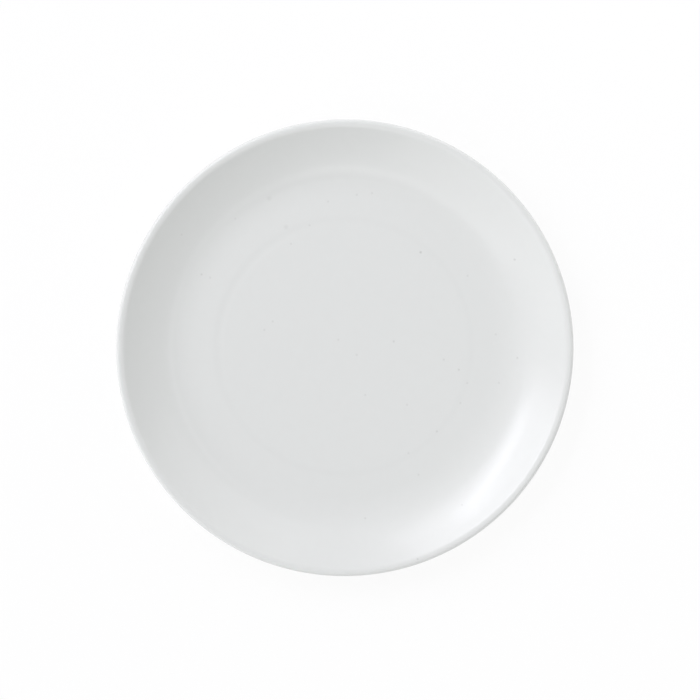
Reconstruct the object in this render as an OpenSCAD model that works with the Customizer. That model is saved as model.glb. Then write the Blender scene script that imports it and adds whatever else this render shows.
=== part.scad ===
// Coupe dinner plate: a turned clay body with a rolled rim and a foot ring,
// under a coat of glaze that is wiped off where the foot stands.
// The origin is the centre of the standing band, with +Z up through the well.

/* [Plate] */
// Diameter over the glaze
plate_d = 273; // [180:1:320]
// Height from the standing band to the top of the rim, over the glaze
plate_h = 23; // [18:0.5:28]
// Thickness of the clay under the well
base_t = 4.8; // [3.5:0.1:6.5]
// Thickness of the clay in the rolled rim
rim_t = 3.6; // [3:0.1:5.5]

/* [Dish] */
// Radius of the slow curve that lifts the edge of the well
ease_r = 66; // [45:1:90]
// Slope at which the slow curve gives way to the coving
ease_angle = 9; // [6:0.5:12]
// Radius of the coving between the slow curve and the flare
cove_r = 47; // [30:1:55]
// Slope at which the coving gives way to the flare
cove_angle = 21; // [16:0.5:25]
// Radius of the long hollow curve of the flare
flare_r = 110; // [80:5:160]
// Radius of the crown that turns the flare over to the top of the rim
crown_r = 5.4; // [3:0.1:8]

/* [Foot ring] */
// Distance from the edge of the flat well in to the middle of the standing band
foot_inset = 7; // [4:0.5:30]
// Height of the foot ring under the base
foot_h = 2.6; // [2:0.1:4]
// Width of the flat standing band
foot_w = 2.4; // [1.6:0.1:4]
// Lean of the flanks of the foot from upright
foot_lean = 25; // [10:1:35]
// Rounding between the standing band and the flanks
foot_round = 0.8; // [0.4:0.1:1]
// Fillet between the flanks and the underside
foot_fillet = 1.8; // [1:0.1:2.4]

/* [Glaze] */
// Thickness of the coat of glaze
glaze_t = 0.35; // [0.2:0.05:0.6]

/* [Smoothness] */
// Steps along the slow curve
ease_steps = 6; // [3:1:12]
// Steps along the coving
cove_steps = 10; // [5:1:20]
// Steps along the flare
flare_steps = 10; // [5:1:20]
// Steps over the crown, and round each quarter of the rolled rim below it
rim_steps = 9; // [4:1:16]
// Steps round each curve of the foot ring
foot_steps = 5; // [3:1:8]

/* [Hidden] */
$fn = 180;
clay_colour = "#E6E0D4";
glaze_colour = "#E1E3E2";

// Share of each flank of the foot ring that is wiped bare, from the bottom
wipe_share = 0.35;

// Levels of the clay: its underside within the foot, and its well
base_z = foot_h;
well_z = base_z + base_t;

// Rolled rim: a gentle crown inside its crest and a tighter round outside it
rim_r = rim_t / 2;
crest = [plate_d / 2 - glaze_t - rim_r, plate_h - glaze_t];
crown_centre = crest - [0, crown_r];
rim_centre = crest - [0, rim_r];

// Slope that the flare has reached where it meets the crown
climb = crest[1] - well_z;
curve_rise = ease_r * (1 - cos(ease_angle)) + cove_r * (cos(ease_angle) - cos(cove_angle));
face_slope = acos((curve_rise + flare_r * cos(cove_angle) + crown_r - climb) / (flare_r + crown_r));
// The flat well fills what the slow curve, the coving, the flare and the crown leave
border_w = ease_r * sin(ease_angle) + cove_r * (sin(cove_angle) - sin(ease_angle))
           + flare_r * (sin(face_slope) - sin(cove_angle)) + crown_r * sin(face_slope);
well_r = crest[0] - border_w;
flare_centre = crown_centre + (flare_r + crown_r) * [-sin(face_slope), cos(face_slope)];

// Foot ring: its flanks run up to fillets that end flush with the underside
foot_r = well_r - foot_inset;
flank_rise = foot_h - foot_fillet - foot_round;
flank_run = (foot_round + foot_fillet + flank_rise * sin(foot_lean)) / cos(foot_lean);
// The underside stays flat under the well, and at least to the foot's own fillet
under_r = max(well_r, foot_r + foot_w / 2 + flank_run);

// Centres of the slow curve and of the coving, for a flat that ends at radius flat_r
function ease_centre(flat_r) = [flat_r, well_z + ease_r];
function cove_centre(flat_r) =
    ease_centre(flat_r) + (ease_r - cove_r) * [sin(ease_angle), -cos(ease_angle)];

// Slope of the straight underside of the flare, which touches the round under the
// coving and the round of the rim from below
under_gap = rim_centre - cove_centre(under_r);
under_slope = atan2(under_gap[1], under_gap[0])
              + asin((cove_r + base_t - rim_r) / norm(under_gap));

// Points along an arc that stops at each angle of a list, without the first point
// where the line before already ends there; angles go anticlockwise from straight out,
// so 90 is up and -90 is down
function arc(centre, r, stops, steps, joined = false) =
    [for (i = [(joined ? 1 : 0):steps * (len(stops) - 1)])
        let (leg = min(floor(i / steps), len(stops) - 2),
             a = stops[leg] + (stops[leg + 1] - stops[leg]) * (i / steps - leg))
        centre + r * [cos(a), sin(a)]];

function reversed(points) = [for (i = [len(points) - 1:-1:0]) points[i]];

// Well, coving, flare and rim, from the axis outwards, one coat above the clay
function face_line(coat) = concat(
    [[0, well_z + coat]],
    arc(ease_centre(well_r), ease_r - coat, [-90, ease_angle - 90], ease_steps),
    arc(cove_centre(well_r), cove_r - coat,
        [ease_angle - 90, cove_angle - 90], cove_steps, joined = true),
    arc(flare_centre, flare_r - coat,
        [cove_angle - 90, face_slope - 90], flare_steps, joined = true),
    arc(crown_centre, crown_r + coat, [90 + face_slope, 90], rim_steps, joined = true),
    arc(rim_centre, rim_r + coat, [90, 0, under_slope - 90], rim_steps, joined = true));

// Underside, from the rim in to the flat round the foot ring, one coat below the clay
function under_line(coat) = concat(
    arc(cove_centre(under_r), cove_r + base_t + coat,
        [under_slope - 90, ease_angle - 90], cove_steps),
    arc(ease_centre(under_r), ease_r + base_t + coat,
        [ease_angle - 90, -90], ease_steps, joined = true));

// Places on the foot ring go by side, 1 for the outer flank and -1 for the inner one
function foot_points(side, points) =
    [for (p = points) [foot_r + side * (foot_w / 2 + p[0]), p[1]]];

// One flank, from the underside down to the wipe line
function flank_line(side, coat) =
    let (lean = [cos(foot_lean), -sin(foot_lean)],
         fillet_centre = [flank_run, base_z - foot_fillet],
         head = fillet_centre - (foot_fillet - coat) * lean,
         toe = [0, foot_round] + (foot_round + coat) * lean)
    foot_points(side, concat(
        arc(fillet_centre, foot_fillet - coat, [90, 180 - foot_lean], foot_steps),
        [toe + wipe_share * (head - toe)]));

// Half of the bare end, from the flank to the flat of the standing band
function toe_line(side) =
    foot_points(side, arc([0, foot_round], foot_round, [-foot_lean, -90], foot_steps));

// The two coats, and the bare end between them, from the rim side inwards
outer_line = function (coat) concat(face_line(coat), under_line(coat), flank_line(1, coat));
inner_line = function (coat) concat([[0, base_z - coat]], flank_line(-1, coat));
bare_line = concat(toe_line(1), reversed(toe_line(-1)));

// A coat of glaze: out along the surface of the glaze, and back along the clay
module glaze_coat(line) {
    color(glaze_colour)
        rotate_extrude()
            polygon(concat(line(glaze_t), reversed(line(0))));
}

module clay_body() {
    color(clay_colour)
        rotate_extrude()
            polygon(concat(outer_line(0), bare_line, reversed(inner_line(0))));
}

module face_glaze() {
    glaze_coat(outer_line);
}

module base_glaze() {
    glaze_coat(inner_line);
}

clay_body();
face_glaze();
base_glaze();
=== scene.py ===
import math

import bpy
from mathutils import Matrix, Quaternion, Vector, noise


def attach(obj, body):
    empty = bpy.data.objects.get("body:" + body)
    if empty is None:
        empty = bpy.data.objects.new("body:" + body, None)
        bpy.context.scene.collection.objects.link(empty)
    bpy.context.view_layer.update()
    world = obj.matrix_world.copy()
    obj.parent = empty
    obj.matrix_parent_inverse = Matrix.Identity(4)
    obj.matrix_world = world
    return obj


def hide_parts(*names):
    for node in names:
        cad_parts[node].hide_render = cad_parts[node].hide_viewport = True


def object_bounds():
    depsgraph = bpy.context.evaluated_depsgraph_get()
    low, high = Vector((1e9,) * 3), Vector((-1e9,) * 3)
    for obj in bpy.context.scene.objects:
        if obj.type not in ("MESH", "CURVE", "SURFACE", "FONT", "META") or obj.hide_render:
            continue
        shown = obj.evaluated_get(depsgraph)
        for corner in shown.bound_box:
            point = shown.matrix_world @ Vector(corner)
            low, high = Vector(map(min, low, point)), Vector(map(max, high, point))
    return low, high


# Coupe dinner plate. The glaze is modelled over the packed clay, with the unevenness that
# throwing and firing leave in it. Lengths are in millimetres until they reach a mesh, angles
# are in degrees, and a side of the plate is an angle anticlockwise from +X

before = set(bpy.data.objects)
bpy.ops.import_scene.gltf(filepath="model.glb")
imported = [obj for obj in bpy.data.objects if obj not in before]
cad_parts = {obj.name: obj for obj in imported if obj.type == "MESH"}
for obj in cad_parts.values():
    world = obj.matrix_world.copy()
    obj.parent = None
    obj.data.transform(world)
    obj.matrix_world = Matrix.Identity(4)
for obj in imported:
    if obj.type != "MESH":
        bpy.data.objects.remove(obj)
cadLow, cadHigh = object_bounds()
mm = 0.001
print("frame loaded:", ", ".join(sorted(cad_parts)))


def toLinear(colour):
    # an sRGB hex colour as the linear red, green, blue and alpha that Blender wants
    shares = [int(colour[i:i + 2], 16) / 255 for i in (1, 3, 5)]
    return [c / 12.92 if c <= 0.04045 else ((c + 0.055) / 1.055) ** 2.4 for c in shares] + [1.0]


def addNode(tree, kind, inputs=None, **settings):
    # one node; its inputs are values, or the outputs that link into them
    node = tree.nodes.new(kind)
    for name, value in settings.items():
        setattr(node, name, value)
    for socket, value in (inputs or {}).items():
        if isinstance(value, bpy.types.NodeSocket):
            tree.links.new(value, node.inputs[socket])
        else:
            node.inputs[socket].default_value = value
    return node


def eased(share):
    # 0 to 1 with a soft start and end
    share = min(max(share, 0), 1)
    return share * share * (3 - 2 * share)


def along(angle):
    # unit vector, anticlockwise from straight out in the section and from +X in plan
    return Vector((math.cos(math.radians(angle)), math.sin(math.radians(angle))))


# The turned section is the packed clay's own: change one and the other has to follow
section = {
    "outerR": cadHigh.x / mm,   # over the glaze
    "height": cadHigh.z / mm,
    "bodyT": 4.8,               # clay under the well
    "rimT": 3.6,                # clay in the rolled rim
    "easeR": 66,                # slow curve that lifts the edge of the well
    "easeAngle": 9,
    "coveR": 47,                # tighter curve up to the flare
    "coveAngle": 21,
    "flareR": 110,              # long hollow curve of the flare
    "crownR": 5.4,              # turns the flare over to the crest of the rim
    "footInset": 7,             # from the edge of the flat well in to the foot ring
    "footH": 2.6,
    "footW": 2.4,
    "footLean": 25,
    "footRound": 0.8,
    "footFillet": 1.8,
    "coat": 0.35,               # thickness of the glaze
    "wipeShare": 0.35,          # of the foot's flank, wiped bare from the bottom
    "edgeRun": 0.25,            # how far the end of the coat thins out down the flank
}


def settingOut(s):
    # the centres, radii and slopes that the section hangs on
    wellZ = s["footH"] + s["bodyT"]
    rimR = s["rimT"] / 2
    crest = Vector((s["outerR"] - s["coat"] - rimR, s["height"] - s["coat"]))
    rimAt, crownAt = crest - Vector((0, rimR)), crest - Vector((0, s["crownR"]))
    ease, cove = math.radians(s["easeAngle"]), math.radians(s["coveAngle"])
    rise = s["easeR"] * (1 - math.cos(ease)) + s["coveR"] * (math.cos(ease) - math.cos(cove))
    reach = s["flareR"] + s["crownR"]
    upright = rise + s["flareR"] * math.cos(cove) + s["crownR"] - crest.y + wellZ
    slope = math.acos(upright / reach)
    border = (s["easeR"] * math.sin(ease) + s["coveR"] * (math.sin(cove) - math.sin(ease))
              + s["flareR"] * (math.sin(slope) - math.sin(cove)) + s["crownR"] * math.sin(slope))
    wellR = crest.x - border
    easeAt = Vector((wellR, wellZ + s["easeR"]))
    coveAt = easeAt + (s["easeR"] - s["coveR"]) * along(s["easeAngle"] - 90)
    flareAt = crownAt + reach * along(90 + math.degrees(slope))
    gap = rimAt - coveAt
    under = math.atan2(gap.y, gap.x) + math.asin((s["coveR"] + s["bodyT"] - rimR) / gap.length)
    lean = math.radians(s["footLean"])
    flankRise = s["footH"] - s["footFillet"] - s["footRound"]
    flankRun = (s["footRound"] + s["footFillet"] + flankRise * math.sin(lean)) / math.cos(lean)
    return {"wellZ": wellZ, "wellR": wellR, "rimR": rimR, "rimAt": rimAt, "crownAt": crownAt,
            "easeAt": easeAt, "coveAt": coveAt, "flareAt": flareAt,
            "faceSlope": math.degrees(slope), "underSlope": math.degrees(under),
            "footR": wellR - s["footInset"], "flankRun": flankRun}


lines = settingOut(section)
print("section: well to radius %.1f, foot ring at %.1f, flare up to %.1f degrees"
      % (lines["wellR"], lines["footR"], lines["faceSlope"]))

# The camera looks nearly straight down on the plate
view = {
    "lens": 100,
    "sensor": 36,
    "clip": (0.05, 50),     # m
    "distance": 1159.5,     # from the level of the rim
    "lean": 4.2,            # off the vertical
    "leanTowards": 120,
    "aim": (2.5, -0.27),    # what it looks at, off the middle of the plate
}


def placeCamera(v):
    data = bpy.data.cameras.new("camera")
    data.lens, data.sensor_width = v["lens"], v["sensor"]
    data.clip_start, data.clip_end = v["clip"]
    camera = bpy.data.objects.new("camera", data)
    lean, towards = math.radians(v["lean"]), math.radians(v["leanTowards"])
    back = Vector((math.cos(towards) * math.sin(lean), math.sin(towards) * math.sin(lean),
                   math.cos(lean)))
    aim = Vector((v["aim"][0], v["aim"][1], section["height"] - lines["rimR"])) * mm
    right = Vector((0, 1, 0)).cross(back).normalized()
    turned = Matrix((right, back.cross(right), back)).transposed().to_4x4()
    camera.matrix_world = Matrix.Translation(aim + back * v["distance"] * mm) @ turned
    bpy.context.scene.collection.objects.link(camera)
    bpy.context.scene.camera = camera


placeCamera(view)
print("camera placed")

# The coats are turned from rows. A row is one turn of the mesh: where it is in the section,
# which way it faces, and its zone
spacingShares = {"rim": 1 / 4, "under": 1.5, "foot": 1 / 5}     # of the spacing over the face
sameSpot = 1e-4     # rows closer than this are one


def arcRows(zone, centre, radius, start, stop, spacing, hollow=False):
    # hollow where the surface curves round the air and so faces the centre
    steps = max(2, round(abs(math.radians(stop - start)) * radius / spacing))
    turns = [along(start + (stop - start) * i / steps) for i in range(steps + 1)]
    return [{"zone": zone, "at": centre + radius * out, "facing": -out if hollow else out}
            for out in turns]


def straightRows(zone, start, stop, spacing):
    # faces left of the way that it runs
    way = stop - start
    steps = max(1, round(way.length / spacing))
    facing = Vector((-way.y, way.x)).normalized()
    return [{"zone": zone, "at": start + way * i / steps, "facing": facing}
            for i in range(steps + 1)]


def joined(*runs):
    # the runs in turn, with one row where two of them meet
    rows = []
    for row in (row for run in runs for row in run):
        if not rows or (row["at"] - rows[-1]["at"]).length > sameSpot:
            rows.append(row)
    return rows


def flankRows(side, coat, spacing):
    # down one flank of the foot ring from the underside to the wipe line
    s = section
    lean = Vector((math.cos(math.radians(s["footLean"])), -math.sin(math.radians(s["footLean"]))))
    filletAt = Vector((lines["flankRun"], s["footH"] - s["footFillet"]))
    head = filletAt - (s["footFillet"] - coat) * lean
    toe = Vector((0, s["footRound"])) + (s["footRound"] + coat) * lean
    wipe = toe + s["wipeShare"] * (head - toe)
    spacing *= spacingShares["foot"]
    rows = joined(
        arcRows("flank", filletAt, s["footFillet"] - coat, 90, 180 - s["footLean"], spacing,
                hollow=True),
        straightRows("flank", head, wipe, spacing))
    for row in rows:
        row["at"] = Vector((lines["footR"] + side * (s["footW"] / 2 + row["at"].x), row["at"].y))
        row["facing"] = Vector((side * row["facing"].x, row["facing"].y))
    return rows


def faceRows(coat, spacing):
    # out over the well, the coving, the flare and the rim, and back under them to the foot
    s, at = section, lines
    floorZ = at["wellZ"] + coat
    rimSpacing, underSpacing = spacing * spacingShares["rim"], spacing * spacingShares["under"]
    well = straightRows("well", Vector((0, floorZ)), Vector((at["wellR"], floorZ)), spacing)
    ease = arcRows("rise", at["easeAt"], s["easeR"] - coat, -90, s["easeAngle"] - 90,
                   spacing, hollow=True)
    cove = arcRows("rise", at["coveAt"], s["coveR"] - coat, s["easeAngle"] - 90,
                   s["coveAngle"] - 90, spacing, hollow=True)
    flare = arcRows("rise", at["flareAt"], s["flareR"] - coat, s["coveAngle"] - 90,
                    at["faceSlope"] - 90, spacing, hollow=True)
    crown = arcRows("rim", at["crownAt"], s["crownR"] + coat, at["faceSlope"] + 90, 90,
                    rimSpacing)
    rim = arcRows("rim", at["rimAt"], at["rimR"] + coat, 90, at["underSlope"] - 90, rimSpacing)
    underCove = arcRows("under", at["coveAt"], s["coveR"] + s["bodyT"] + coat,
                        at["underSlope"] - 90, s["easeAngle"] - 90, underSpacing)
    underEase = arcRows("under", at["easeAt"], s["easeR"] + s["bodyT"] + coat,
                        s["easeAngle"] - 90, -90, underSpacing)
    underFlare = straightRows("under", rim[-1]["at"], underCove[0]["at"], underSpacing)
    return joined(well, ease, cove, flare, crown, rim, underFlare, underCove, underEase,
                  flankRows(1, coat, spacing))


def baseRows(coat, spacing):
    # up the inner flank of the foot ring and in over the base to the axis
    flank = flankRows(-1, coat, spacing)[::-1]
    middle = Vector((0, section["footH"] - coat))
    return joined(flank, straightRows("under", flank[-1]["at"], middle, spacing))


def edgeRows(glazeEnd, clayEnd, steps):
    # the end of a coat, rounded down onto the clay below the wipe line
    out = glazeEnd["at"] - clayEnd["at"]
    down = Vector((out.y, -out.x)) if out.x > 0 else Vector((-out.y, out.x))
    down = down.normalized() * section["edgeRun"]
    rows = []
    for i in range(1, steps + 1):
        turn = along(90 * i / steps)
        rows.append({"zone": "edge", "at": clayEnd["at"] + out * turn.x + down * turn.y,
                     "facing": out.normalized() * turn.x + down.normalized() * turn.y})
    return rows


def onClay(rows):
    # the hidden side of a coat, which nothing makes uneven
    for row in rows:
        row["zone"] = "inside"
    return rows


# What throwing, drying and firing leave in a true section
firing = {
    "outOfRound": 0.09,         # radius
    "outOfRoundLobes": 3,
    "outOfRoundAt": 207,        # where one lobe is fullest
    "warp": 0.12,               # height of the rim
    "warpLobes": 2,
    "warpAt": 60,
    "fromR": 92,                # both grow from the edge of the well outwards
    "unevenness": 0.03,         # slow rise and fall of the well
    "unevennessSize": 38,
    "turning": 0.012,           # fine marks of the profile tool under the plate
    "turningSize": 3.4,
    "turningDrift": 0.3,        # how much they change on the way round
    "waver": 0.1,               # of the wiped edge of the glaze
    "waverSize": 5,
    "waverSeed": 7,
}
# Throwing rings: each has its full height on one side of the plate, and falls off round it to
# the share given as all
throwingRings = [
    {"at": (0, 0), "r": 56, "height": 0.012, "width": 2.4, "side": 140, "all": 0.2},
    {"at": (-0.8, 1.0), "r": 74.8, "height": -0.034, "width": 2.2, "side": 153, "all": 0.35},
    {"at": (-0.8, 1.0), "r": 78.4, "height": 0.026, "width": 2.0, "side": 153, "all": 0.35},
    {"at": (1.7, 0.4), "r": 105.6, "height": 0.06, "width": 2.2, "side": 92, "all": 0.08},
    {"at": (1.7, 0.4), "r": 105.6, "height": 0.05, "width": 2.2, "side": 200, "all": 0},
    {"at": (0, 0), "r": 123.2, "height": 0.1, "width": 3.0, "side": 346, "all": 0},
]
ringReach = 3       # widths from the top of a ring to where nothing is left of it
ringFall = 6        # how fast it falls off round the plate


def ringLift(x, y):
    total = 0
    for ring in throwingRings:
        dx, dy = x - ring["at"][0], y - ring["at"][1]
        off = (math.hypot(dx, dy) - ring["r"]) / ring["width"]
        if abs(off) < ringReach:
            facingSide = 0.5 + 0.5 * math.cos(math.atan2(dy, dx) - math.radians(ring["side"]))
            share = ring["all"] + (1 - ring["all"]) * facingSide ** ringFall
            total += ring["height"] * share * math.exp(-off * off)
    return total


def firedPoint(row, turn):
    # a point of the glaze in metres, turn being its share of the way round
    f, zone, facing = firing, row["zone"], row["facing"]
    angle = 2 * math.pi * turn
    wayX, wayY = math.cos(angle), math.sin(angle)
    x, z = row["at"]
    lift = 0
    if zone in ("well", "rise"):
        spot = Vector((x * wayX, x * wayY, 0)) / f["unevennessSize"]
        lift = ringLift(x * wayX, x * wayY) + f["unevenness"] * noise.noise(spot)
    elif zone == "under":
        spot = Vector((x / f["turningSize"], f["turningDrift"] * wayX, f["turningDrift"] * wayY))
        lift = f["turning"] * noise.noise(spot)
    elif zone == "edge":
        spot = Vector((x * wayX, x * wayY, f["waverSeed"])) / f["waverSize"]
        z += f["waver"] * noise.noise(spot)
    x, z = x + facing.x * lift, z + facing.y * lift
    if zone != "inside":
        share = eased((x - f["fromR"]) / (section["outerR"] - f["fromR"]))
        lobed = math.cos(f["outOfRoundLobes"] * (angle - math.radians(f["outOfRoundAt"])))
        warped = math.cos(f["warpLobes"] * (angle - math.radians(f["warpAt"])))
        x += share * f["outOfRound"] * lobed
        z += share * f["warp"] * warped
    return (x * wayX * mm, x * wayY * mm, z * mm)


# How the bake map is laid out: the top as a disc, and the rest as bands under it, each from
# its low edge to its high one
layout = {
    "discR": 0.434,
    "discAt": (0.5, 0.562),
    "band": (0.045, 0.118),
    "inside": (0.005, 0.035),
}


def mapSpot(patch, run, turn, lengths):
    # run is the distance along the section from the axis
    if patch == "disc":
        r = layout["discR"] * run / lengths["disc"]
        return (layout["discAt"][0] + r * math.cos(2 * math.pi * turn),
                layout["discAt"][1] + r * math.sin(2 * math.pi * turn))
    low, high = layout[patch]
    start = lengths["disc"] if patch == "band" else 0
    share = (run - start) / (lengths["whole"] - start)
    return (turn, low + (high - low) * min(max(share, 0), 1))


# Steps round a row: it has half as many where they would get too narrow, again and again,
# and is a point near the axis
roundSteps = {
    "most": 288,
    "fewest": 9,
    "narrowest": 0.55,
    "axisR": 0.01,
}


def stepsRound(radius):
    count, narrowest = roundSteps["most"], roundSteps["narrowest"]
    while count > roundSteps["fewest"] and 2 * math.pi * radius / count < narrowest:
        count //= 2
    return count if radius > roundSteps["axisR"] else 1


def stitched(a, b):
    # the faces between two neighbouring rows, as (row, step) corners; counts are equal,
    # double or half, or one of the rows is the point on the axis
    if a == b:
        return [((0, k), (1, k), (1, k + 1), (0, k + 1)) for k in range(a)]
    if a == 1:
        return [((0, k + 0.5), (1, k), (1, k + 1)) for k in range(b)]
    if b == 1:
        return [((0, k), (1, k + 0.5), (0, k + 1)) for k in range(a)]
    faces = []
    for k in range(min(a, b)):
        if b > a:
            faces += [((0, k), (1, 2 * k), (1, 2 * k + 1)),
                      ((0, k), (1, 2 * k + 1), (0, k + 1)),
                      ((0, k + 1), (1, 2 * k + 1), (1, 2 * k + 2))]
        else:
            faces += [((0, 2 * k), (1, k), (0, 2 * k + 1)),
                      ((0, 2 * k + 1), (1, k), (1, k + 1)),
                      ((0, 2 * k + 1), (1, k + 1), (0, 2 * k + 2))]
    return faces


def measured(rows, patchFor):
    # gives each row its distance from the axis and its place in the bake map
    run = 0
    for i, row in enumerate(rows):
        if i:
            run += (row["at"] - rows[i - 1]["at"]).length
        row["run"] = run
        row["patch"] = patchFor(row)


def turnedPiece(name, rows):
    # a closed shell turned from a loop of rows that starts and ends on the axis
    points, firsts, counts = [], [], []
    for row in rows:
        count = stepsRound(row["at"].x)
        firsts.append(len(points))
        counts.append(count)
        points += [firedPoint(row, k / count) for k in range(count)]
    lengths = {"disc": max(row["run"] for row in rows if row["patch"] == "disc"),
               "whole": max(row["run"] for row in rows)}
    faces, spots = [], []
    for i in range(len(rows) - 1):
        most = max(counts[i], counts[i + 1])
        for face in stitched(counts[i], counts[i + 1]):
            corners = []
            for which, step in face:
                count = counts[i + which]
                corners.append(firsts[i + which] + (int(step) % count))
                turn = step / (most if count == 1 else count)
                spots += mapSpot(rows[i + 1]["patch"], rows[i + which]["run"], turn, lengths)
            faces.append(corners)
    mesh = bpy.data.meshes.new(name)
    mesh.from_pydata(points, [], faces)
    mesh.uv_layers.new(name="OFBake").data.foreach_set("uv", spots)
    mesh.shade_smooth()
    mesh.validate()
    piece = bpy.data.objects.new(name, mesh)
    bpy.context.scene.collection.objects.link(piece)
    print("%s: %d rows, %d faces" % (name, len(rows), len(faces)))
    return piece


# The coat over the face, the rim and the underside, down to the wipe line
faceCoat = {
    "spacing": 1.2,         # of its rows over the face
    "claySpacing": 3.6,     # and on the clay
    "endSteps": 5,          # round its end
}
faceLine = faceRows(section["coat"], faceCoat["spacing"])
faceBack = onClay(faceRows(0, faceCoat["claySpacing"]))
faceEnd = edgeRows(faceLine[-1], faceBack[-1], faceCoat["endSteps"])
measured(faceLine + faceEnd,
         lambda row: "disc" if row["zone"] in ("well", "rise") or row["facing"].y > 0 else "band")
measured(faceBack, lambda row: "inside")
faceGlaze = turnedPiece("glazedFace", faceLine + faceEnd + faceBack[::-1])
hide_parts("face_glaze")
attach(faceGlaze, "root")

# The patch of glaze within the foot ring
baseCoat = {
    "spacing": 2.4,
    "claySpacing": 3.6,
    "endSteps": 5,
}
baseLine = baseRows(section["coat"], baseCoat["spacing"])
baseBack = onClay(baseRows(0, baseCoat["claySpacing"]))
baseEnd = edgeRows(baseLine[0], baseBack[0], baseCoat["endSteps"])
measured(baseLine[::-1] + baseEnd, lambda row: "disc")
measured(baseBack[::-1], lambda row: "inside")
baseGlaze = turnedPiece("glazedBase", baseBack[::-1] + baseEnd[::-1] + baseLine)
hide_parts("base_glaze")
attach(baseGlaze, "root")

# What a noise texture gives: its mean, and the span that most of it lies in
noiseMean = 0.5
noiseSpan = (0.3, 0.7)


# In a colour mix, socket 0 is the share, 6 and 7 are the two colours and output 2 is the result
def emptyMaterial(name):
    material = bpy.data.materials.new(name)
    material.use_nodes = True
    material.node_tree.nodes.clear()
    return material, material.node_tree


def placeInMm(tree):
    # where a point of the plate is, in mm from the middle of its standing band
    place = addNode(tree, "ShaderNodeTexCoord")
    spot = addNode(tree, "ShaderNodeVectorMath",
                   {"Vector": place.outputs["Object"], "Scale": 1 / mm}, operation="SCALE")
    return spot.outputs["Vector"]


def faceHeight(radius):
    # height of the glazed face at a radius, from the rows that make it
    top = [row["at"] for row in faceLine if row["zone"] in ("well", "rise")]
    for inner, outer in zip(top, top[1:]):
        if outer.x >= radius:
            return inner.y + (outer.y - inner.y) * (radius - inner.x) / (outer.x - inner.x)
    return section["height"]


# Satin white tableware glaze, opacified with tin or zircon, dipped and fired. The eye gets
# a soft sheen instead of mirror gloss, a skin that is faintly uneven in tone, and fine specks
# of iron from the clay that have bled through
glaze = {
    "colour": "#E2E4E2",
    "shade": "#E0E2E0",
    "ringShade": "#D6D8D6",          # painted shade along a throwing ring; on the inner ring also a real darker coat all round
    "ringHighlight": "#EDEFED",         # painted highlight beside a throwing ring
    "ior": 1.5,
    "roughness": (0.2, 0.23),
    "mottle": 5,                # mm across, the slow change of tone
    "mottleDetail": 4,
    "peel": 2.4,                # mm across, the skin's fine unevenness
    "peelDepth": 0.004,
    "fineDetail": 2,            # of the peel and of the specks' edges
    "speck": "#8F908C",
    "speckFade": 1.8,           # radii from the middle of a speck to where it has faded out
    "speckStray": 0.3,          # mm, how far its ragged edge strays
    "speckRagged": 1.1,         # ragged points to the mm of that edge
    "dust": 7.5,                # mm from one fine grain of iron to the next
    "dustR": 0.34,
    "dustShare": 0.16,
}
# Painted shade and painted highlight along the throwing rings, strongest on the side where the
# lamps show the rings; the inner ring also has a real darker coat all round. Each fades out over
# its width to either side, and from its full share on one side of the plate to the part of it
# given as all
paintedRings = [
    {"at": (-0.8, 1.0), "r": 77.1, "width": 3.4, "coat": "ringShade", "share": 0.16,
     "side": 150, "all": 0.65},
    {"at": (-0.8, 1.0), "r": 72.9, "width": 2.4, "coat": "ringHighlight", "share": 0.08,
     "side": 150, "all": 0},
    {"at": (1.7, 0.4), "r": 103.1, "width": 3.2, "coat": "ringShade", "share": 0.16,
     "side": 92, "all": 0},
    {"at": (1.7, 0.4), "r": 107.6, "width": 3.2, "coat": "ringHighlight", "share": 0.09,
     "side": 112, "all": 0},
    {"at": (1.7, 0.4), "r": 106.3, "width": 2.8, "coat": "ringHighlight", "share": 0.15,
     "side": 200, "all": 0},
]
paintedRingSide = (0.6, 1.0)       # cosine of the angle from that side where it starts and is full
# Iron specks, as they show against the level of the rim: the plainer ones, each given to
# the nearest millimetre from the middle of the plate. The dust stands for the rest
speckKinds = {
    "dark": {"r": 0.7, "strength": 0.37},
    "plain": {"r": 0.6, "strength": 0.24},
    "faint": {"r": 0.6, "strength": 0.16},
    "broad": {"r": 1.2, "strength": 0.12},
}
specks = {
    "dark": [(45, 57), (101, 53)],
    "plain": [(29, 4), (-85, 44), (103, -6), (68, -13), (55, -50), (12, -102), (70, -94),
              (43, -126)],
    "faint": [(-80, 42), (-97, 68), (-65, 77), (-10, 87), (7, 91), (16, 92), (-4, 5), (7, -4),
              (12, -28), (59, -7), (73, -21), (92, -21), (73, 43), (90, 8), (38, -63),
              (44, -76), (-43, 16), (-48, 11), (37, -34), (69, -33), (-21, 73), (-32, 62)],
    "broad": [(-45, 89), (-35, 72)],
}


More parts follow.
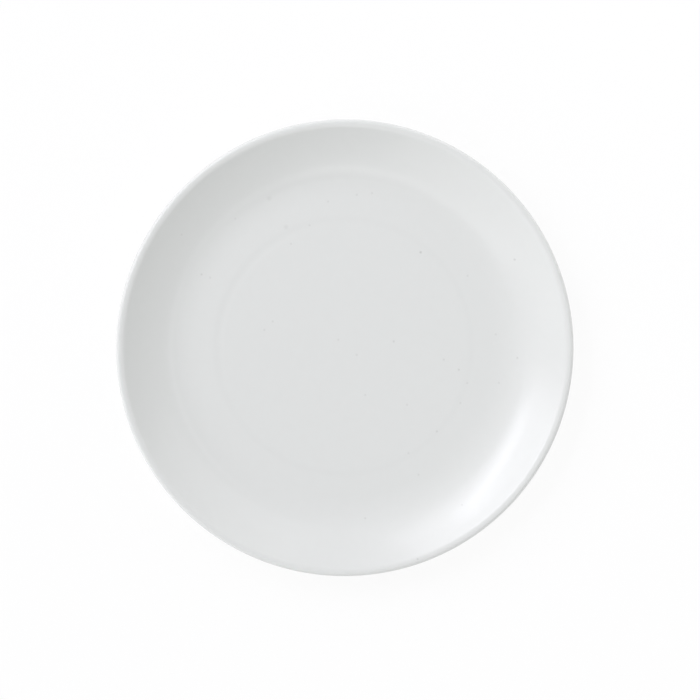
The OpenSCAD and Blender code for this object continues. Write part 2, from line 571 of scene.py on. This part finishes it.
def withPaintedRings(tree, inMm, tone, g):
    # the tone with the painted shade and painted highlight of each ring over it
    for ring in paintedRings:
        middle = (ring["at"][0], ring["at"][1], faceHeight(ring["r"]))
        fromMiddle = addNode(tree, "ShaderNodeVectorMath", {0: inMm, 1: middle},
                             operation="DISTANCE")
        offRing = addNode(tree, "ShaderNodeMath", {0: fromMiddle.outputs["Value"], 1: ring["r"]},
                          operation="SUBTRACT")
        away = addNode(tree, "ShaderNodeMath", {0: offRing.outputs[0]}, operation="ABSOLUTE")
        band = addNode(tree, "ShaderNodeMapRange",
                       {"Value": away.outputs[0], "From Min": 0.0, "From Max": ring["width"],
                        "To Min": ring["share"], "To Max": 0.0}, interpolation_type="SMOOTHSTEP")
        towards = [c / ring["r"] for c in along(ring["side"])] + [0]
        facing = addNode(tree, "ShaderNodeVectorMath", {0: inMm, 1: towards},
                         operation="DOT_PRODUCT")
        sided = addNode(tree, "ShaderNodeMapRange",
                        {"Value": facing.outputs["Value"], "From Min": paintedRingSide[0],
                         "From Max": paintedRingSide[1], "To Min": ring["all"], "To Max": 1.0},
                        interpolation_type="SMOOTHSTEP")
        share = addNode(tree, "ShaderNodeMath", {0: band.outputs[0], 1: sided.outputs[0]},
                        operation="MULTIPLY")
        # each ring mixes in its painted shade or its painted highlight
        shadedRingTone = addNode(tree, "ShaderNodeMix",
                         {0: share.outputs[0], 6: tone, 7: toLinear(g[ring["coat"]])},
                         data_type="RGBA")
        tone = shadedRingTone.outputs[2]
    return tone


def ironShare(tree, inMm, g):
    # how much iron shows: fine dust all over, and the specks with their ragged edges
    grains = addNode(tree, "ShaderNodeTexVoronoi", {"Vector": inMm, "Scale": 1 / g["dust"]})
    iron = addNode(tree, "ShaderNodeMapRange",
                   {"Value": grains.outputs["Distance"], "From Min": 0.0,
                    "From Max": g["dustR"] / g["dust"], "To Min": g["dustShare"], "To Max": 0.0},
                   interpolation_type="SMOOTHSTEP")
    ragged = addNode(tree, "ShaderNodeTexNoise",
                     {"Vector": inMm, "Scale": g["speckRagged"], "Detail": g["fineDetail"]})
    shift = addNode(tree, "ShaderNodeVectorMath", {0: ragged.outputs[1], 1: [noiseMean] * 3},
                    operation="SUBTRACT")
    stray = addNode(tree, "ShaderNodeVectorMath",
                    {"Vector": shift.outputs[0], "Scale": g["speckStray"] / noiseMean},
                    operation="SCALE")
    frayed = addNode(tree, "ShaderNodeVectorMath", {0: inMm, 1: stray.outputs[0]},
                     operation="ADD")
    # each speck has the height of the face, so that none shows through on the underside, and
    # lies further out the lower the face is, as the camera sees it smaller there
    for kind, places in specks.items():
        speck = speckKinds[kind]
        for x, y in places:
            z = faceHeight(math.hypot(x, y))
            out = 1 + (section["height"] - z) / view["distance"]
            away = addNode(tree, "ShaderNodeVectorMath",
                           {0: frayed.outputs[0], 1: (x * out, y * out, z)}, operation="DISTANCE")
            dot = addNode(tree, "ShaderNodeMapRange",
                          {"Value": away.outputs["Value"], "From Min": 0.0,
                           "From Max": speck["r"] * g["speckFade"],
                           "To Min": speck["strength"], "To Max": 0.0},
                          interpolation_type="SMOOTHSTEP")
            iron = addNode(tree, "ShaderNodeMath", {0: iron.outputs[0], 1: dot.outputs[0]},
                           operation="MAXIMUM")
    return iron.outputs[0]


def glazeMaterial(g):
    material, tree = emptyMaterial("satinWhiteGlaze")
    inMm = placeInMm(tree)
    mottle = addNode(tree, "ShaderNodeTexNoise",
                     {"Vector": inMm, "Scale": 1 / g["mottle"], "Detail": g["mottleDetail"]})
    mottled = addNode(tree, "ShaderNodeMix",
                      {0: mottle.outputs[0], 6: toLinear(g["shade"]), 7: toLinear(g["colour"])},
                      data_type="RGBA")
    # painted shade and painted highlight along the throwing rings
    shadedRingTone = withPaintedRings(tree, inMm, mottled.outputs[2], g)
    specked = addNode(tree, "ShaderNodeMix",
                      {0: ironShare(tree, inMm, g), 6: shadedRingTone, 7: toLinear(g["speck"])},
                      data_type="RGBA")
    satin = addNode(tree, "ShaderNodeMapRange",
                    {"Value": mottle.outputs[0], "From Min": noiseSpan[0],
                     "From Max": noiseSpan[1], "To Min": g["roughness"][0],
                     "To Max": g["roughness"][1]})
    peel = addNode(tree, "ShaderNodeTexNoise",
                   {"Vector": inMm, "Scale": 1 / g["peel"], "Detail": g["fineDetail"]})
    skin = addNode(tree, "ShaderNodeBump",
                   {"Height": peel.outputs[0], "Strength": 1.0, "Distance": g["peelDepth"] * mm})
    shader = addNode(tree, "ShaderNodeBsdfPrincipled",
                     {"Base Color": specked.outputs[2], "Roughness": satin.outputs[0],
                      "IOR": g["ior"], "Normal": skin.outputs[0]})
    addNode(tree, "ShaderNodeOutputMaterial", {"Surface": shader.outputs[0]})
    return material


# Fired stoneware biscuit, turned and then wiped clean of glaze with a wet sponge. It looks
# dry and warm beside the glaze, with a fine sandy grain
biscuit = {
    "colour": "#E6E0D4",
    "shade": "#D6CDBC",
    "grain": 0.5,           # mm; the real grain is about 0.15, drawn coarser so that it shows
    "grainDepth": 0.02,
    "stain": 6,             # mm, cloudiness from the sponge
    "detail": 3,            # of both
    "cloud": (0.12, 0.4),   # stain times grain, from all shade to all colour
    "ior": 1.5,
    "roughness": (0.78, 0.9),
}


def biscuitMaterial(b):
    material, tree = emptyMaterial("wipedBiscuit")
    inMm = placeInMm(tree)
    stain = addNode(tree, "ShaderNodeTexNoise",
                    {"Vector": inMm, "Scale": 1 / b["stain"], "Detail": b["detail"]})
    grain = addNode(tree, "ShaderNodeTexNoise",
                    {"Vector": inMm, "Scale": 1 / b["grain"], "Detail": b["detail"]})
    both = addNode(tree, "ShaderNodeMath", {0: stain.outputs[0], 1: grain.outputs[0]},
                   operation="MULTIPLY")
    share = addNode(tree, "ShaderNodeMapRange",
                    {"Value": both.outputs[0], "From Min": b["cloud"][0],
                     "From Max": b["cloud"][1], "To Min": 0.0, "To Max": 1.0})
    tone = addNode(tree, "ShaderNodeMix",
                   {0: share.outputs[0], 6: toLinear(b["shade"]), 7: toLinear(b["colour"])},
                   data_type="RGBA")
    dry = addNode(tree, "ShaderNodeMapRange",
                  {"Value": grain.outputs[0], "From Min": noiseSpan[0], "From Max": noiseSpan[1],
                   "To Min": b["roughness"][0], "To Max": b["roughness"][1]})
    sand = addNode(tree, "ShaderNodeBump",
                   {"Height": grain.outputs[0], "Strength": 1.0, "Distance": b["grainDepth"] * mm})
    shader = addNode(tree, "ShaderNodeBsdfPrincipled",
                     {"Base Color": tone.outputs[2], "Roughness": dry.outputs[0],
                      "IOR": b["ior"], "Normal": sand.outputs[0]})
    addNode(tree, "ShaderNodeOutputMaterial", {"Surface": shader.outputs[0]})
    return material


glazed = glazeMaterial(glaze)
for coat in (faceGlaze, baseGlaze):
    coat.data.materials.append(glazed)
fired = biscuitMaterial(biscuit)
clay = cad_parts["clay_body"]
if not clay.material_slots:
    clay.data.materials.append(fired)
for slot in clay.material_slots:
    slot.material = fired
print("coats glazed and clay left bare at the foot")

# Light is reckoned as what a white card facing the lamp would send back, 1 being white.
# Distances and sizes of the studio are in metres
softboxes = [
    {"name": "keySoftbox", "from": 139, "elevation": 38.4, "distance": 8.0, "size": (7.4, 5.2),
     "level": 0.472, "colour": "#FAF8FF"},
    {"name": "stripSoftbox", "from": 144, "elevation": 50.5, "distance": 6.0, "size": (3.2, 0.5),
     "roll": 20, "level": 0.098, "colour": "#F8F6FF"},
    {"name": "lowSoftbox", "from": 225, "elevation": 28, "distance": 8.0, "size": (8.4, 6.7),
     "level": 0.225, "colour": "#FFFFFF"},
    {"name": "sideSoftbox", "from": 46, "elevation": 35, "distance": 1.2, "size": (0.9, 1.19),
     "level": 0.206, "colour": "#FFFFFF"},
    {"name": "topSoftbox", "from": 248, "elevation": 58, "distance": 6.0, "size": (4.6, 1.4),
     "level": 0.066, "colour": "#FFFFFF"},
]


def softbox(lamp):
    data = bpy.data.lights.new(lamp["name"], "AREA")
    data.shape = "RECTANGLE"
    data.size, data.size_y = lamp["size"]
    data.energy = lamp["level"] * math.pi ** 2 * lamp["distance"] ** 2
    data.color = toLinear(lamp["colour"])[:3]
    light = bpy.data.objects.new(lamp["name"], data)
    turn, tilt = math.radians(lamp["from"]), math.radians(lamp["elevation"])
    back = Vector((math.cos(turn) * math.cos(tilt), math.sin(turn) * math.cos(tilt),
                   math.sin(tilt)))
    roll = Quaternion((0, 0, 1), math.radians(lamp.get("roll", 0)))
    light.location = back * lamp["distance"]
    light.rotation_euler = (back.to_track_quat("Z", "Y") @ roll).to_euler()
    bpy.context.scene.collection.objects.link(light)


def seenDirectly(tree):
    # 1 where the camera, a reflection or a clear surface looks, 0 for light on its way
    rays = addNode(tree, "ShaderNodeLightPath")
    some = addNode(tree, "ShaderNodeMath",
                   {0: rays.outputs["Is Camera Ray"], 1: rays.outputs["Is Glossy Ray"]},
                   operation="MAXIMUM")
    every = addNode(tree, "ShaderNodeMath",
                    {0: some.outputs[0], 1: rays.outputs["Is Transmission Ray"]},
                    operation="MAXIMUM")
    return every.outputs[0]


room = {
    "colour": "#FFFFFF",
    "ceiling": 0.378,       # what the room sends onto the plate, straight from above
    "walls": 0.37,          # and how much more of it comes from near the horizon
    "wallsFall": 2,         # how fast that falls off upwards
    "backdrop": "#FFFFFF",
}


def buildRoom(r):
    world = bpy.data.worlds.new("whiteRoom")
    world.use_nodes = True
    tree = world.node_tree
    tree.nodes.clear()
    towards = addNode(tree, "ShaderNodeTexCoord")
    upward = addNode(tree, "ShaderNodeSeparateXYZ", {0: towards.outputs["Generated"]})
    level = addNode(tree, "ShaderNodeMath", {0: 1.0, 1: upward.outputs["Z"]},
                    operation="SUBTRACT")
    low = addNode(tree, "ShaderNodeMath", {0: level.outputs[0], 1: r["wallsFall"]},
                  operation="POWER")
    strength = addNode(tree, "ShaderNodeMath", {0: low.outputs[0], 1: r["walls"], 2: r["ceiling"]},
                       operation="MULTIPLY_ADD")
    lighting = addNode(tree, "ShaderNodeBackground",
                       {"Color": toLinear(r["colour"]), "Strength": strength.outputs[0]})
    backdrop = addNode(tree, "ShaderNodeBackground",
                       {"Color": toLinear(r["backdrop"]), "Strength": 1.0})
    mix = addNode(tree, "ShaderNodeMixShader",
                  {0: seenDirectly(tree), 1: lighting.outputs[0], 2: backdrop.outputs[0]})
    addNode(tree, "ShaderNodeOutputWorld", {"Surface": mix.outputs[0]})
    bpy.context.scene.world = world


# Opal acrylic light table, cast and sanded matt, and lit from within. The eye gets plain white
# with hardly a shadow, and the rim gets more light from one side of it than from the other
table = {
    "colour": "#FFFFFF",
    "bounce": "#F8F8F8",        # what it sends back of the light that falls on it
    "lit": (0.22, 0.5),         # light of its own, on the one side and on the other
    "litSide": -15,             # where it gives most
    "litFrom": (0.07, 0.14),    # from the middle that way, where the one grows to the other
    "glow": 0.88,               # share of it that the camera sees as plain white
    "glowFrom": (0.3, 1.5),     # from the middle, where that share grows to the whole
    "size": 60,
}


def buildTable(t):
    material, tree = emptyMaterial("whiteTable")
    place = addNode(tree, "ShaderNodeTexCoord")
    sideways = addNode(tree, "ShaderNodeVectorMath",
                       {0: place.outputs["Object"], 1: [*along(t["litSide"]), 0]},
                       operation="DOT_PRODUCT")
    strength = addNode(tree, "ShaderNodeMapRange",
                       {"Value": sideways.outputs["Value"], "From Min": t["litFrom"][0],
                        "From Max": t["litFrom"][1], "To Min": t["lit"][0],
                        "To Max": t["lit"][1]}, interpolation_type="SMOOTHSTEP")
    lit = addNode(tree, "ShaderNodeEmission",
                  {"Color": toLinear(t["colour"]), "Strength": strength.outputs[0]})
    matt = addNode(tree, "ShaderNodeBsdfDiffuse", {"Color": toLinear(t["bounce"])})
    bounce = addNode(tree, "ShaderNodeAddShader", {0: matt.outputs[0], 1: lit.outputs[0]})
    paint = addNode(tree, "ShaderNodeBsdfDiffuse", {"Color": toLinear(t["colour"])})
    white = addNode(tree, "ShaderNodeEmission", {"Color": toLinear(t["colour"]), "Strength": 1.0})
    out = addNode(tree, "ShaderNodeVectorMath", {0: place.outputs["Object"]}, operation="LENGTH")
    plain = addNode(tree, "ShaderNodeMapRange",
                    {"Value": out.outputs["Value"], "From Min": t["glowFrom"][0],
                     "From Max": t["glowFrom"][1], "To Min": t["glow"], "To Max": 1.0},
                    interpolation_type="SMOOTHSTEP")
    seen = addNode(tree, "ShaderNodeMixShader",
                   {0: plain.outputs[0], 1: paint.outputs[0], 2: white.outputs[0]})
    top = addNode(tree, "ShaderNodeMixShader",
                  {0: seenDirectly(tree), 1: bounce.outputs[0], 2: seen.outputs[0]})
    # it is clear from below, so that the underside of the plate can be looked at
    clear = addNode(tree, "ShaderNodeBsdfTransparent")
    side = addNode(tree, "ShaderNodeNewGeometry")
    both = addNode(tree, "ShaderNodeMixShader",
                   {0: side.outputs["Backfacing"], 1: top.outputs[0], 2: clear.outputs[0]})
    addNode(tree, "ShaderNodeOutputMaterial", {"Surface": both.outputs[0]})

    half = t["size"] / 2
    mesh = bpy.data.meshes.new("floor")
    mesh.from_pydata([(-half, -half, 0), (half, -half, 0), (half, half, 0), (-half, half, 0)],
                     [], [(0, 1, 2, 3)])
    mesh.materials.append(material)
    floor = bpy.data.objects.new("floor", mesh)
    bpy.context.scene.collection.objects.link(floor)


buildRoom(room)
buildTable(table)
for lamp in softboxes:
    softbox(lamp)
bpy.context.scene.view_settings.view_transform = "Standard"
print("studio lit")
